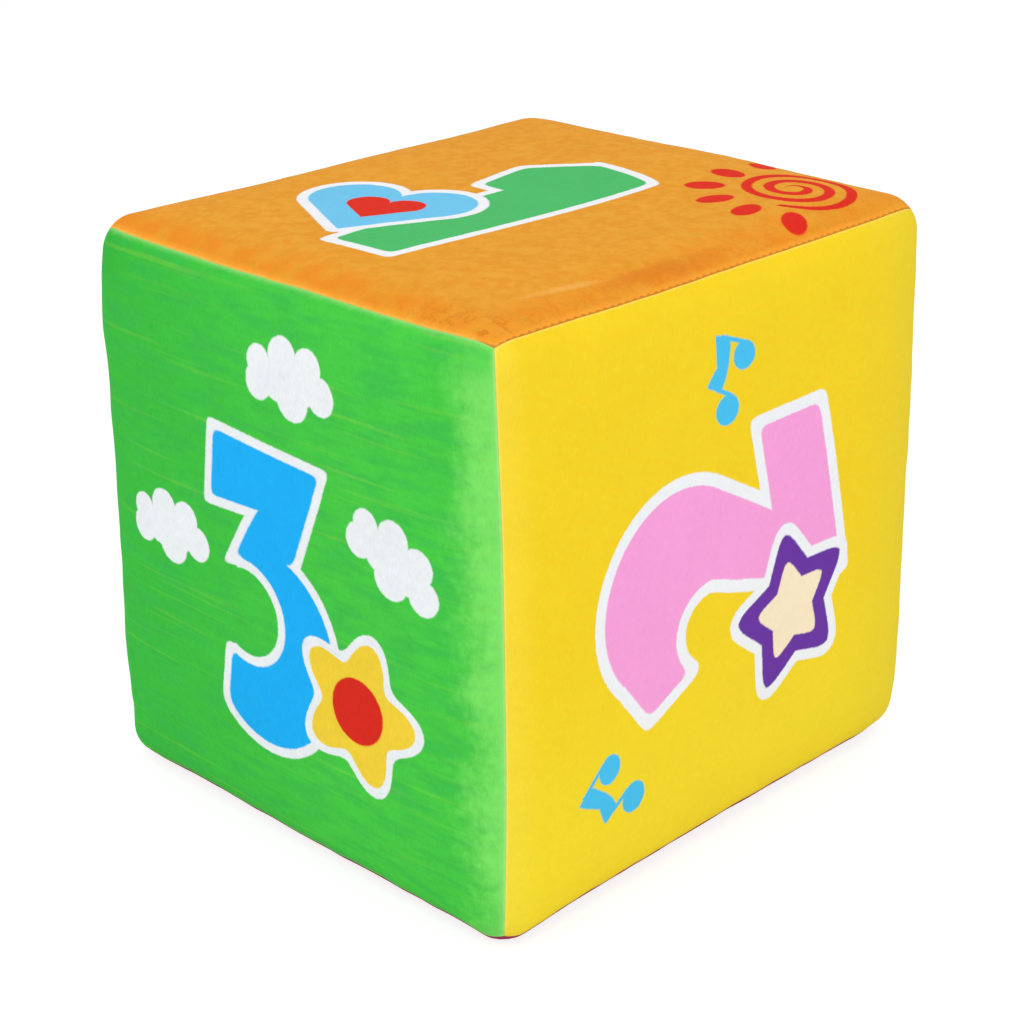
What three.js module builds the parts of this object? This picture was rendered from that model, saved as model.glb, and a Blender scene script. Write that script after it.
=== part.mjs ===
// A soft play die: a sponge block in a sewn cover of six plush panels.
// Millimetres, +Z up, with the origin at the middle of the face that the die rests on.
import * as THREE from "three";

// Size of the stuffed cover between its seams, before the panels swell
const width = 145; // along X, from the left panel to the right one
const depth = 155; // along Y, from the front panel to the back one
const height = 150; // along Z, from the bottom panel to the top one

// How the stuffing shapes the cover
const edgeRadius = 9; // rounding of the edges and corners
const crown = 2.5; // swell of a panel's middle past its seams; the bottom panel stays flat
const drawIn = 1; // pull of a seam's middle towards the block, between its corners

// Sewing
const plushThickness = 2; // pile and backing together
const lipRadius = 1.2; // roll of a panel's edge down to its stitch line
const seamAllowance = 5; // plush beyond the stitch line, turned inwards
const threadDiameter = 0.5;

// Fit
const clearance = 0.3; // between pieces that touch

// Fineness of the surfaces, in steps across a grid
const edgeSteps = 3; // round an edge, from its seam to the flat of the face
const faceSteps = 6; // across the flat of a face
const threadSteps = 6; // along a thread
const threadSides = 6;

const half = new THREE.Vector3(width / 2, depth / 2, height / 2);
const seamSide = clearance / 2; // from a seam's plane to the plush on either side of it
const lipRings = 2; // rings of a panel's grid that turn down into the seam

// Directions of each face: its outward normal, and the right and up of someone who looks at it
const faces = {
  front: { normal: [0, -1, 0], right: [1, 0, 0] },
  back: { normal: [0, 1, 0], right: [-1, 0, 0] },
  right: { normal: [1, 0, 0], right: [0, 1, 0] },
  left: { normal: [-1, 0, 0], right: [0, -1, 0] },
  top: { normal: [0, 0, 1], right: [1, 0, 0] },
  bottom: { normal: [0, 0, -1], right: [1, 0, 0] },
};
for (const face of Object.values(faces)) {
  face.normal = new THREE.Vector3(...face.normal);
  face.right = new THREE.Vector3(...face.right);
  face.up = new THREE.Vector3().crossVectors(face.normal, face.right);
}

// Half of a box's extent along a direction that lies on one of its axes
function reach(halfSize, direction) {
  return Math.abs(halfSize.dot(direction));
}

// Swell of the stuffed form: moves a point of the plain rounded box to where the stuffing pushes it.
// A face's middle goes out by the crown, the middle of a seam comes in, and the corners stay.
function stuffed(point) {
  const [x, y, z] = [point.x / half.x, point.y / half.y, point.z / half.z];
  const push = (a, b) =>
    crown * (1 - a * a) * (1 - b * b) -
    drawIn * (a * a * (1 - b * b) + b * b * (1 - a * a));
  point.x += x * push(y, z);
  point.y += y * push(x, z);
  point.z += Math.max(z, 0) * push(x, y); // nothing moves the face that the die rests on
  point.z += half.z;
  return point;
}

// Point beside a face, from how far it lies along the face's right and up and how far out
function facePoint(face, along, across, out) {
  return new THREE.Vector3()
    .addScaledVector(face.right, along)
    .addScaledVector(face.up, across)
    .addScaledVector(face.normal, out);
}

// Point on a rounded box. Along and across are read on the plane of the face: up to the start of the
// rounding they lie on the flat, and the rest of the way, one radius, spreads round the edge to its seam.
function roundedPoint(face, box, radius, level, along, across) {
  const flatAlong = reach(box, face.right) - radius;
  const flatAcross = reach(box, face.up) - radius;
  const overAlong = Math.max(Math.abs(along) - flatAlong, 0) * Math.sign(along);
  const overAcross = Math.max(Math.abs(across) - flatAcross, 0) * Math.sign(across);
  const turn = new THREE.Vector3(overAlong, overAcross, radius).setLength(level);
  return facePoint(
    face,
    along - overAlong + turn.x,
    across - overAcross + turn.y,
    reach(box, face.normal) - radius + turn.z,
  );
}

// How far past the flat a line lies that runs round an edge at a given distance from the seam's plane,
// on a skin of the given level (its distance from the axis of the rounding)
function overAtEdge(level, fromSeam, overAlong) {
  const k = 2 * (fromSeam / level) ** 2;
  const rest = edgeRadius ** 2 - k * (overAlong ** 2 + edgeRadius ** 2);
  return (edgeRadius - Math.sqrt(edgeRadius ** 2 - (1 - k) * rest)) / (1 - k);
}

// The same at a corner, where the line is as far from two seams at once
function overAtCorner(level, fromSeam) {
  const k = 2 * (fromSeam / level) ** 2;
  const rest = edgeRadius ** 2 * (1 - k);
  return (edgeRadius - Math.sqrt(edgeRadius ** 2 - (1 - 2 * k) * rest)) / (1 - 2 * k);
}

// Faces of a grid of points, as triangles that face away from the block or towards it
function gridTriangles(count, first, outward) {
  const triangles = [];
  const at = (i, j) => first + i * (count + 1) + j;
  for (let i = 0; i < count; i++)
    for (let j = 0; j < count; j++) {
      const [a, b, c, d] = [at(i, j), at(i + 1, j), at(i + 1, j + 1), at(i, j + 1)];
      // Each half of a face is split towards its corners, which keeps the corners round
      const quad = (i < count / 2) === (j < count / 2) ? [a, b, c, a, c, d] : [a, b, d, b, c, d];
      triangles.push(...(outward ? quad : quad.reverse()));
    }
  return triangles;
}

function solid(points, triangles) {
  const geometry = new THREE.BufferGeometry().setFromPoints(points.map(stuffed));
  geometry.setIndex(triangles);
  geometry.computeVertexNormals();
  return geometry;
}

// One skin of a cover panel, as a square grid of points. Its two outer rings turn down between the panels:
// the edge of the seam allowance, then the stitch line. The third runs along the top of the lip.
function panelSkin(face, skin) {
  const roundingStart = lipRings + edgeSteps;
  const count = 2 * roundingStart + faceSteps;
  const allowanceEnd = edgeRadius - lipRadius - seamAllowance;
  const flat = { along: reach(half, face.right) - edgeRadius, across: reach(half, face.up) - edgeRadius };

  // Place along one direction of the flat, for a grid line between the two roundings
  const flatPlace = (index, size) => size * ((2 * (index - roundingStart)) / faceSteps - 1);
  const signOf = (index) => (index < count / 2 ? -1 : 1);

  function ringPoint(i, j) {
    const [fromI, fromJ] = [Math.min(i, count - i), Math.min(j, count - j)];
    const ring = Math.min(fromI, fromJ, lipRings);
    const place = (index, from, over, size) =>
      from < roundingStart ? signOf(index) * (size + over) : flatPlace(index, size);

    if (ring === 0) {
      // The allowance lies flat beside the seam's plane, so its edge is a plain rectangle
      const over = (allowanceEnd - skin.fromSeam[0]) / Math.SQRT2;
      const share = (from) => (over * (roundingStart - from)) / roundingStart;
      const out = reach(half, face.normal) - edgeRadius + (allowanceEnd + skin.fromSeam[0]) / Math.SQRT2;
      const along = place(i, fromI, share(fromI), flat.along);
      const across = place(j, fromJ, share(fromJ), flat.across);
      return facePoint(face, along, across, out);
    }
    const level = skin.level[ring];
    const corner = overAtCorner(level, skin.fromSeam[ring]);
    const share = (from) => (corner * Math.max(roundingStart - from, 0)) / (roundingStart - ring);
    let [overI, overJ] = [share(fromI), share(fromJ)];
    if (fromI === ring) overI = fromJ === ring ? corner : overAtEdge(level, skin.fromSeam[ring], overJ);
    else if (fromJ === ring) overJ = overAtEdge(level, skin.fromSeam[ring], overI);
    const along = place(i, fromI, overI, flat.along);
    const across = place(j, fromJ, overJ, flat.across);
    return roundedPoint(face, half, edgeRadius, level, along, across);
  }

  const points = [];
  for (let i = 0; i <= count; i++) for (let j = 0; j <= count; j++) points.push(ringPoint(i, j));
  return { points, count };
}

// A cover panel: its pile side, its wrong side, and the cut edge of the allowance that joins them
function panelGeometry(face) {
  const pileSide = panelSkin(face, {
    level: [null, edgeRadius - lipRadius, edgeRadius],
    fromSeam: [seamSide, seamSide, seamSide + lipRadius],
  });
  const inside = seamSide + plushThickness;
  const wrongSide = panelSkin(face, {
    level: [null, edgeRadius - plushThickness, edgeRadius - plushThickness],
    fromSeam: [inside, inside, inside + lipRadius],
  });
  const { count } = pileSide;
  const second = pileSide.points.length;
  const triangles = [...gridTriangles(count, 0, true), ...gridTriangles(count, second, false)];

  // Walk round the cut edge once
  const edge = [];
  for (let i = 0; i < count; i++) edge.push([i, 0]);
  for (let j = 0; j < count; j++) edge.push([count, j]);
  for (let i = count; i > 0; i--) edge.push([i, count]);
  for (let j = count; j > 0; j--) edge.push([0, j]);
  const at = ([i, j]) => i * (count + 1) + j;
  edge.forEach((place, step) => {
    const [a, b] = [at(place), at(edge[(step + 1) % edge.length])];
    triangles.push(b, a, second + a, b, second + a, second + b);
  });
  return solid([...pileSide.points, ...wrongSide.points], triangles);
}

// The sponge block just fills the panels' wrong sides. Its edges are rounded enough to leave room for the
// seam allowances, whose ends it meets on the diagonal.
function coreGeometry() {
  const inset = plushThickness + clearance;
  const box = half.clone().subScalar(inset);
  const faceLevel = edgeRadius - inset;
  const diagonalLevel = edgeRadius - lipRadius - seamAllowance - clearance;
  const radius = (faceLevel * Math.SQRT2 - diagonalLevel) / (Math.SQRT2 - 1);
  const count = 2 * edgeSteps + faceSteps;
  const points = [];
  const triangles = [];
  for (const face of Object.values(faces)) {
    const place = (index, size) => {
      const from = Math.min(index, count - index);
      const flat = size - radius;
      if (from >= edgeSteps) return flat * ((2 * (index - edgeSteps)) / faceSteps - 1);
      return (index < edgeSteps ? -1 : 1) * (flat + (radius * (edgeSteps - from)) / edgeSteps);
    };
    triangles.push(...gridTriangles(count, points.length, true));
    for (let i = 0; i <= count; i++)
      for (let j = 0; j <= count; j++) {
        const along = place(i, reach(box, face.right));
        const across = place(j, reach(box, face.up));
        points.push(roundedPoint(face, box, radius, radius, along, across));
      }
  }
  return solid(points, triangles);
}

// Thread of the seam between two faces. It lies in the groove between their lips, just clear of both.
function threadGeometry(faceA, faceB) {
  const radius = threadDiameter / 2;
  const lipTop = Math.sqrt(edgeRadius ** 2 - (seamSide + lipRadius) ** 2);
  const lipRise = lipTop - (edgeRadius - lipRadius);
  const lipSlope = Math.hypot(lipRadius, lipRise);
  const seat = ((radius + clearance) * lipSlope - seamSide * lipRise) / lipRadius;
  const out = (edgeRadius - lipRadius + seat) / Math.SQRT2; // along each of the two normals

  const along = new THREE.Vector3().crossVectors(faceA.normal, faceB.normal);
  const length = reach(half, along) - edgeRadius;
  const route = [];
  for (let step = 0; step <= threadSteps; step++) {
    const point = new THREE.Vector3()
      .addScaledVector(faceA.normal, reach(half, faceA.normal) - edgeRadius + out)
      .addScaledVector(faceB.normal, reach(half, faceB.normal) - edgeRadius + out)
      .addScaledVector(along, length * ((2 * step) / threadSteps - 1));
    route.push(stuffed(point));
  }
  const section = new THREE.Shape();
  for (let side = 0; side < threadSides; side++) {
    const angle = (2 * Math.PI * side) / threadSides;
    const corner = [radius * Math.cos(angle), radius * Math.sin(angle)];
    if (side === 0) section.moveTo(...corner);
    else section.lineTo(...corner);
  }
  section.closePath();
  const extrudePath = new THREE.CatmullRomCurve3(route);
  return new THREE.ExtrudeGeometry(section, { steps: threadSteps, extrudePath, bevelEnabled: false });
}

const plush = (color) => new THREE.MeshStandardMaterial({ color, roughness: 0.95, metalness: 0 });
const panelMaterials = {
  front: plush("#3ec344"),
  back: plush("#8d6fd1"),
  right: plush("#f0d82d"),
  left: plush("#4fb9ee"),
  top: plush("#eca334"),
  bottom: plush("#e0607f"),
};
const spongeMaterial = new THREE.MeshStandardMaterial({ color: "#f4efdc", roughness: 1, metalness: 0 });
const threadMaterial = new THREE.MeshStandardMaterial({ color: "#efe9dd", roughness: 0.8, metalness: 0 });

const die = new THREE.Group();
function addPiece(name, geometry, material) {
  const piece = new THREE.Mesh(geometry, material);
  piece.name = name;
  die.add(piece);
}

addPiece("foam_core", coreGeometry(), spongeMaterial);
for (const [name, face] of Object.entries(faces))
  addPiece(`${name}_panel`, panelGeometry(face), panelMaterials[name]);

// The twelve edges: four round the top, four round the bottom and the four uprights
const seams = [
  ...["front", "back", "right", "left"].flatMap((side) => [["top", side], ["bottom", side]]),
  ...["front", "back"].flatMap((side) => [[side, "right"], [side, "left"]]),
];
for (const [a, b] of seams) addPiece(`seam_${a}_${b}`, threadGeometry(faces[a], faces[b]), threadMaterial);

export default die;
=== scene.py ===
import math

import bpy
import numpy as np
from mathutils import Matrix, Vector, noise


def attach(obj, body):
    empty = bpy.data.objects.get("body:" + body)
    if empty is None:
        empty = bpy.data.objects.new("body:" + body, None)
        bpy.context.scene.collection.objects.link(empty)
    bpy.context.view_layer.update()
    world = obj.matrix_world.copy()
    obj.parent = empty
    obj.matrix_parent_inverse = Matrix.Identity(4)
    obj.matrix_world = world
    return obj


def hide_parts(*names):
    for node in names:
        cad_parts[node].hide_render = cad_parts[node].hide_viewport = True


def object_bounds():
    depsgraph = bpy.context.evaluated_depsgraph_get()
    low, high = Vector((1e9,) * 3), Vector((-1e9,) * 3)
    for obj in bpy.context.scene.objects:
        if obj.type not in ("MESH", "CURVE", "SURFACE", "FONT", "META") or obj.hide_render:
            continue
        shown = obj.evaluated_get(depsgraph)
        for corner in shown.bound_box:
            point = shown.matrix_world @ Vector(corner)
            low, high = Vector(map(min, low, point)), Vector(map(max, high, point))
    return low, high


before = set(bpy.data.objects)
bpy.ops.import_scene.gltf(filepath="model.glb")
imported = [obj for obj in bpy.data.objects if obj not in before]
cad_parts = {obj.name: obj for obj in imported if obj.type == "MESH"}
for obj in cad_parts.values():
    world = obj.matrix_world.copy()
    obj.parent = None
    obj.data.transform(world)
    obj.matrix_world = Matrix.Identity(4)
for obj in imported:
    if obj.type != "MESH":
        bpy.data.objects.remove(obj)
cadBox = [list(corner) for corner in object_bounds()]
mm = 0.001
print("frame:", len(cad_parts), "nodes, box", cadBox)

view = {
    "place": (0.375, -0.3705, 0.2902),
    "azimuth": 45.46,  # degrees round the die, from its front panel towards its right one
    "elevation": 22.94,
    "roll": -0.96,
    "lens": 76.96,  # mm, on a 36 mm sensor
}


def addCamera():
    azimuth, elevation, roll = [math.radians(view[key]) for key in ("azimuth", "elevation", "roll")]
    level = math.cos(elevation)
    back = Vector((math.sin(azimuth) * level, -math.cos(azimuth) * level, math.sin(elevation)))
    right = Vector((math.cos(azimuth), math.sin(azimuth), 0))
    axes = Matrix((right, back.cross(right), back)).transposed().to_4x4()
    camera = bpy.data.objects.new("camera", bpy.data.cameras.new("camera"))
    camera.data.lens = view["lens"]
    camera.matrix_world = Matrix.Translation(view["place"]) @ axes @ Matrix.Rotation(roll, 4, "Z")
    bpy.context.collection.objects.link(camera)
    bpy.context.scene.camera = camera


addCamera()
print("camera: set to the photograph's angle")


# Stuffed cover

cover = {
    "edgeRadius": 9 * mm,  # rounding of the edges and corners
    "crown": 2.5 * mm,  # swell of a panel's middle past its seams
    "drawIn": 0.5 * mm,  # pull of a seam's middle towards the block
    "thickness": 2 * mm,  # pile and backing
    "allowance": 5 * mm,  # plush beyond the stitches, turned inwards
    "lipWidth": 0.25 * mm,  # roll of a panel's edge into its seam
    "lipDepth": 0.06 * mm,
    "seamGap": 0.02 * mm,  # between two panels' rolled edges
    "spacing": 1.3 * mm,  # of a panel's grid
    "wander": (45 * mm, 0.5 * mm),  # size and height of the slow unevenness
    "pucker": (7 * mm, 0.28 * mm),  # size and height of the gathers along a seam
    "puckerReach": 6 * mm,  # how far they run into a panel
    "underRoll": (1.5 * mm, 0.25 * mm),  # place and height of the bottom panel's roll beside its seams
    "rollFade": 8,  # how fast that roll comes in from the corners
    "dentFade": 3 * mm,  # from a seam to the full depth of a dent
    "rollSteps": 4,  # grid lines round a lip
}
stuffing = {  # the cover as cloth round the sponge
    "segments": 36,  # along each side of a panel
    "frames": 12,
    "quality": 6,
    "mass": 0.1,
    "stretch": 15.0,
    "shear": 7.5,
    "bend": 5.0,
    "pressure": 60.0,
    "grip": 0.2,  # hold of the sponge on the cloth
}
slack = {  # mm that a handled die sits off its plain shape, at corners and at the middles of edges
    (-1, -1, -1): (-0.4, -2.1, 0.2),
    (1, -1, -1): (0.1, -0.1, -0.2),
    (1, 1, -1): (-0.9, -0.1, 0.4),
    (-1, 1, 1): (1.6, 1.1, -0.1),
    (-1, -1, 1): (0.7, 0.9, -0.5),
    (1, -1, 1): (0, 0, 0.4),
    (1, 1, 1): (-1, -1, -0.2),
    (-1, -1, 0): (-1.2, -0.4, 0),
    (1, -1, 0): (0.9, 0.9, 0),
    (1, 1, 0): (1.2, 1, 0),
    (0, -1, -1): (0, -0.5, -0.6),
    (1, 0, -1): (0, 0, 0.5),
    (0, -1, 1): (0, -0.2, -0.6),
    (0, 1, 1): (0, 0.3, 0.7),
    (-1, 0, 1): (0, 0, -0.4),
    (1, 0, 1): (-0.4, -0.2, -0.9),
}
# Where the stuffing fills the cover out or leaves it hollow: spot on the block, shift and reach in mm
pokes = (
    ((-1, -1, 1), (0.8, 0.8, 0.6), 9),
    ((-1, 1, 1), (1.3, -1.3, -1.4), 9),
    ((1, 1, -1), (-1.5, -1.5, 1), 9),
    ((-1, -1, 0.66), (-0.6, -0.6, 0), 11),
    ((-1, -1, -0.56), (-0.55, -0.55, 0), 14),
)
dents = {  # soft hollows: middle, half length, half width, turn in degrees and depth, lengths in mm
    "top": [((66, -42), 9, 1.6, 81, 0.9), ((66, -70), 6, 3, 40, 0.8)],
    "front": [((-61, -58), 7, 1.8, 20, 0.7)],
}

boxLow, boxHigh = np.array(cadBox[0]), np.array(cadBox[1])
blockHalf = (boxHigh - boxLow - cover["crown"] * np.array((2, 2, 1))) / 2  # between seams
blockMiddle = np.array((0, 0, blockHalf[2]))

panels = {
    "front": {"normal": (0, -1, 0), "right": (1, 0, 0), "slot": "plush_green"},
    "back": {"normal": (0, 1, 0), "right": (-1, 0, 0), "slot": "plush_lilac"},
    "right": {"normal": (1, 0, 0), "right": (0, 1, 0), "slot": "plush_yellow"},
    "left": {"normal": (-1, 0, 0), "right": (0, -1, 0), "slot": "plush_sky"},
    "top": {"normal": (0, 0, 1), "right": (1, 0, 0), "slot": "plush_orange"},
    "bottom": {"normal": (0, 0, -1), "right": (1, 0, 0), "slot": "plush_rose"},
}


def seamReach(size, radius):  # way over the cloth from a face's middle to its seam
    return size - radius + radius * math.pi / 4


for panel in panels.values():
    upward = np.cross(panel["normal"], panel["right"])
    panel["axes"] = np.array((panel["right"], upward, panel["normal"]), float)
    panel["sizes"] = np.abs(panel["axes"] @ blockHalf)
    panel["ends"] = [seamReach(size, cover["edgeRadius"]) for size in panel["sizes"][:2]]


# Points on a rounded block and the directions out of it. Along and across run over the cloth from the
# face's middle, and depth runs in from it.
def skin(panel, halfSize, radius, along, across, depth):
    sizes = np.abs(panel["axes"] @ halfSize)

    def split(place, size):
        turned = np.clip(np.abs(place) - (size - radius), 0, radius * math.pi / 4)
        level = np.sign(place) * np.minimum(np.abs(place), size - radius)
        return level, np.sign(place) * radius * np.tan(turned / radius)

    flatAlong, overAlong = split(along, sizes[0])
    flatAcross, overAcross = split(across, sizes[1])
    out = np.stack((overAlong, overAcross, np.full_like(overAlong, radius)), -1)
    out /= np.linalg.norm(out, axis=-1, keepdims=True)
    local = out * (radius - depth)[..., None]
    local += np.stack((flatAlong, flatAcross, np.full_like(flatAlong, sizes[2] - radius)), -1)
    return local @ panel["axes"], out @ panel["axes"]


def gridFaces(rows, columns, first, outward):
    at = first + np.arange(rows * columns).reshape(rows, columns)
    quads = np.stack((at[:-1, :-1], at[1:, :-1], at[1:, 1:], at[:-1, 1:]), -1).reshape(-1, 4)
    return (quads if outward else quads[:, ::-1]).tolist()


def weld(points, faces):  # joins points in one place: first of each, where each went, and the faces left
    _, first, index = np.unique(np.round(points, 7), axis=0, return_index=True, return_inverse=True)
    joined = [list(dict.fromkeys(index[face].tolist())) for face in faces]
    return first, index, [face for face in joined if len(face) > 2]


def addMesh(name, points, faces):
    mesh = bpy.data.meshes.new(name)
    mesh.from_pydata(points.reshape(-1, 3).tolist(), [], faces)
    mesh.polygons.foreach_set("use_smooth", [True] * len(mesh.polygons))
    piece = bpy.data.objects.new(name, mesh)
    bpy.context.collection.objects.link(piece)
    return piece


# The whole cover sewn up as one cloth, pressed out by the sponge: how far each panel's grid moves
def stuffCover():
    count = stuffing["segments"]
    points, faces = [], []
    for panel in panels.values():
        lines = [np.linspace(-end, end, count + 1) for end in panel["ends"]]
        along, across = np.meshgrid(*lines, indexing="ij")
        surface, _ = skin(panel, blockHalf, cover["edgeRadius"], along, across, np.zeros_like(along))
        faces += gridFaces(count + 1, count + 1, sum(map(len, points)), True)
        points.append(surface.reshape(-1, 3))
    points = np.concatenate(points)
    first, index, faces = weld(points, faces)
    bag = addMesh("sewn_cover", points[first], faces)
    bag.vertex_groups.new(name="sponge").add(list(range(len(first))), stuffing["grip"], "REPLACE")
    modifier = bag.modifiers.new("stuffing", "CLOTH")
    modifier.collision_settings.use_collision = False
    modifier.point_cache.frame_start, modifier.point_cache.frame_end = 1, stuffing["frames"]
    cloth = modifier.settings
    cloth.quality, cloth.mass = stuffing["quality"], stuffing["mass"]
    cloth.tension_stiffness = cloth.compression_stiffness = stuffing["stretch"]
    cloth.shear_stiffness, cloth.bending_stiffness = stuffing["shear"], stuffing["bend"]
    cloth.use_pressure, cloth.uniform_pressure_force = True, stuffing["pressure"]
    cloth.vertex_group_mass = "sponge"
    cloth.effector_weights.gravity = 0
    for step in range(1, stuffing["frames"] + 1):
        bpy.context.scene.frame_set(step)
    settled = np.empty(len(first) * 3)
    bag.evaluated_get(bpy.context.evaluated_depsgraph_get()).data.vertices.foreach_get("co", settled)
    bpy.data.objects.remove(bag)
    bpy.context.scene.frame_set(1)
    moved = settled.reshape(-1, 3)[index] - points
    return dict(zip(panels, moved.reshape(len(panels), count + 1, count + 1, 3)))


stuffedGrids = stuffCover()
for name, grid in stuffedGrids.items():
    print("stuffing:", name, "middle moves", (grid[len(grid) // 2, len(grid) // 2] / mm).round(2))


def cubicShares(place, count):  # the four nearest lines of a grid and their shares at a place from -1 to 1
    spot = np.clip((place + 1) / 2 * count, 0, count)
    line = np.minimum(spot.astype(int), count - 1)
    t = spot - line
    shares = ((2 - t) * t - 1) * t, (3 * t - 5) * t * t + 2, ((4 - 3 * t) * t + 1) * t, (t - 1) * t * t
    return [(np.clip(line + step, 0, count), share / 2) for step, share in zip((-1, 0, 1, 2), shares)]


def stuffed(name, points, along, across):
    if name not in stuffedGrids:
        return crowned(points)
    grid, ends = stuffedGrids[name], panels[name]["ends"]
    moved = np.zeros(points.shape)
    for row, rowShare in cubicShares(along / ends[0], len(grid) - 1):
        for column, columnShare in cubicShares(across / ends[1], len(grid) - 1):
            moved += grid[row, column] * (rowShare * columnShare)[..., None]
    return moved


def crowned(points):
    x, y, z = np.moveaxis(points / blockHalf, -1, 0)

    def push(a, b):
        face = cover["crown"] * (1 - a * a) * (1 - b * b)
        return face - cover["drawIn"] * (a * a * (1 - b * b) + b * b * (1 - a * a))

    return np.stack((x * push(y, z), y * push(x, z), z * push(x, y)), -1)


def slackened(points):
    moved = np.zeros(points.shape)
    for spot, shift in slack.items():
        share = 1
        for side, q in zip(spot, np.moveaxis(points / blockHalf, -1, 0)):
            share = share * ((1 + side * q) / 2 if side else 1 - q * q)
        moved += share[..., None] * np.array(shift) * mm
    for spot, shift, reach in pokes:
        away = (points - blockHalf * spot) / (reach * mm)
        moved += np.exp(-np.sum(away ** 2, -1))[..., None] * np.array(shift) * mm
    return moved


def noiseVectors(points, size):
    flat = [noise.noise_vector(Vector(point / size)) for point in points.reshape(-1, 3)]
    return np.array(flat).reshape(points.shape)


def noiseValues(points, size):
    flat = [noise.noise(Vector(point / size)) for point in points.reshape(-1, 3)]
    return np.array(flat).reshape(points.shape[:-1])


def uneven(name, points, out, along, across):
    size, height = cover["wander"]
    moved = noiseVectors(points, size) * height
    ends = panels[name]["ends"]
    fromSeam = np.clip(np.minimum(ends[0] - np.abs(along), ends[1] - np.abs(across)), 0, None)
    size, height = cover["pucker"]
    raised = noiseValues(points, size) * height * np.exp(-fromSeam / cover["puckerReach"])
    if name == "bottom":
        place, height = cover["underRoll"]
        roll = height * fromSeam / place * np.exp(1 - fromSeam / place)
        corner = np.abs(along * across) / (ends[0] * ends[1])
        raised += roll * np.clip(cover["rollFade"] * (1 - corner), 0, 1)
    for (u, v), length, width, turn, depth in dents.get(name, []):
        angle = math.radians(turn)
        du, dv = along / mm - u, across / mm - v
        run = (du * math.cos(angle) + dv * math.sin(angle)) / length
        side = (dv * math.cos(angle) - du * math.sin(angle)) / width
        raised -= depth * mm * np.exp(-run ** 2 - side ** 2) * np.clip(fromSeam / cover["dentFade"], 0, 1)
    return moved + raised[..., None] * out


# How far the plush at a place of a panel has moved from the plain block
def pushed(name, along, across):
    points, out = skin(panels[name], blockHalf, cover["edgeRadius"], along, across, np.zeros_like(along))
    moved = stuffed(name, points, along, across) + slackened(points)
    moved += uneven(name, points, out, along, across)
    moved[..., 2] = np.maximum(moved[..., 2], -points[..., 2] - blockHalf[2])  # the floor holds it flat
    return moved


# Grid lines of a panel in one direction: where each lies on the pile side and on the wrong side, and how deep
def panelLines(size):
    radius, gap = cover["edgeRadius"], cover["seamGap"] / 2
    end = seamReach(size, radius)
    roll = np.linspace(0, math.pi / 2, cover["rollSteps"])
    stitches = cover["lipDepth"]
    turnedIn = np.array((stitches + cover["allowance"], stitches + cover["allowance"] / 2))
    rim = np.concatenate(((0, 0), cover["lipWidth"] * (1 - np.cos(roll))))
    pileDepth = np.concatenate((turnedIn, stitches * (1 - np.sin(roll))))
    wrongDepth = np.maximum(pileDepth, cover["thickness"])
    beside = radius * np.arcsin((gap + cover["thickness"]) / (radius - wrongDepth))  # as thick at the seam
    pilePlace = end - gap - rim
    wrongPlace = end - beside - rim * 0.5
    count = max(2, round(2 * pilePlace[-1] / cover["spacing"]))

    def spread(place, depth, least):
        inner = np.linspace(-place[-1], place[-1], count + 1)[1:-1]
        both = np.concatenate((-place, inner, place[::-1]))
        return both, np.concatenate((depth, np.full(count - 1, least), depth[::-1]))

    return spread(pilePlace, pileDepth, 0), spread(wrongPlace, wrongDepth, cover["thickness"])


def rimFaces(rows, columns, first):  # closes the cut edge between the two sides of a panel
    at = np.arange(rows * columns).reshape(rows, columns)
    loop = np.concatenate((at[:-1, 0], at[-1, :-1], at[:0:-1, -1], at[0, :0:-1]))
    ahead = np.roll(loop, -1)
    return np.stack((ahead, loop, first + loop, first + ahead), -1).tolist()


def buildPanel(name):
    panel = panels[name]
    sides, places = [], []
    for (along, alongDepth), (across, acrossDepth) in zip(*[panelLines(size) for size in panel["sizes"][:2]]):
        along, across = np.meshgrid(along, across, indexing="ij")
        depth = np.maximum(*np.meshgrid(alongDepth, acrossDepth, indexing="ij"))
        points, _ = skin(panel, blockHalf, cover["edgeRadius"], along, across, depth)
        sides.append((points + pushed(name, along, across)).reshape(-1, 3))
        places.append(np.stack((along, across), -1).reshape(-1, 2) / mm)
    rows, columns = along.shape
    count = rows * columns
    faces = gridFaces(rows, columns, 0, True) + gridFaces(rows, columns, count, False)
    points = np.concatenate(sides) + blockMiddle
    first, _, faces = weld(points, faces + rimFaces(rows, columns, count))
    piece = addMesh(name + "_panel_plush", points[first], faces)
    storePlaces(piece.data, np.concatenate(places)[first], np.array(panel["ends"]) / mm)
    return piece


# Each point keeps its place on the cloth, in mm from the panel's middle, and its way to the nearest seam
def storePlaces(mesh, places, ends):
    cloth = mesh.attributes.new("cloth", "FLOAT_VECTOR", "POINT")
    cloth.data.foreach_set("vector", np.column_stack((places, np.zeros(len(places)))).ravel())
    fromSeam = mesh.attributes.new("fromSeam", "FLOAT", "POINT")
    fromSeam.data.foreach_set("value", np.min(ends - np.abs(places), axis=1))


for name, panel in panels.items():
    panel["piece"] = buildPanel(name)
    panel["flat"] = [2 * (end + cover["allowance"]) for end in panel["ends"]]
    cut = [round(size, 4) for size in panel["flat"]]
    print(name, "panel:", len(panel["piece"].data.vertices), "points, cut", cut)


# Sponge block

sponge = {
    "clear": 0.3 * mm,  # to the panels' wrong side
    "spacing": 3 * mm,
    "uneven": (9 * mm, 0.25 * mm),  # size and height of its cut surface's roughness
    "flatBelow": 4 * mm,  # height under which it lies flat
    "pore": 1.2,  # mm
    "poreBump": (0.5, 0.4 * mm),  # strength and depth
}


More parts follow.
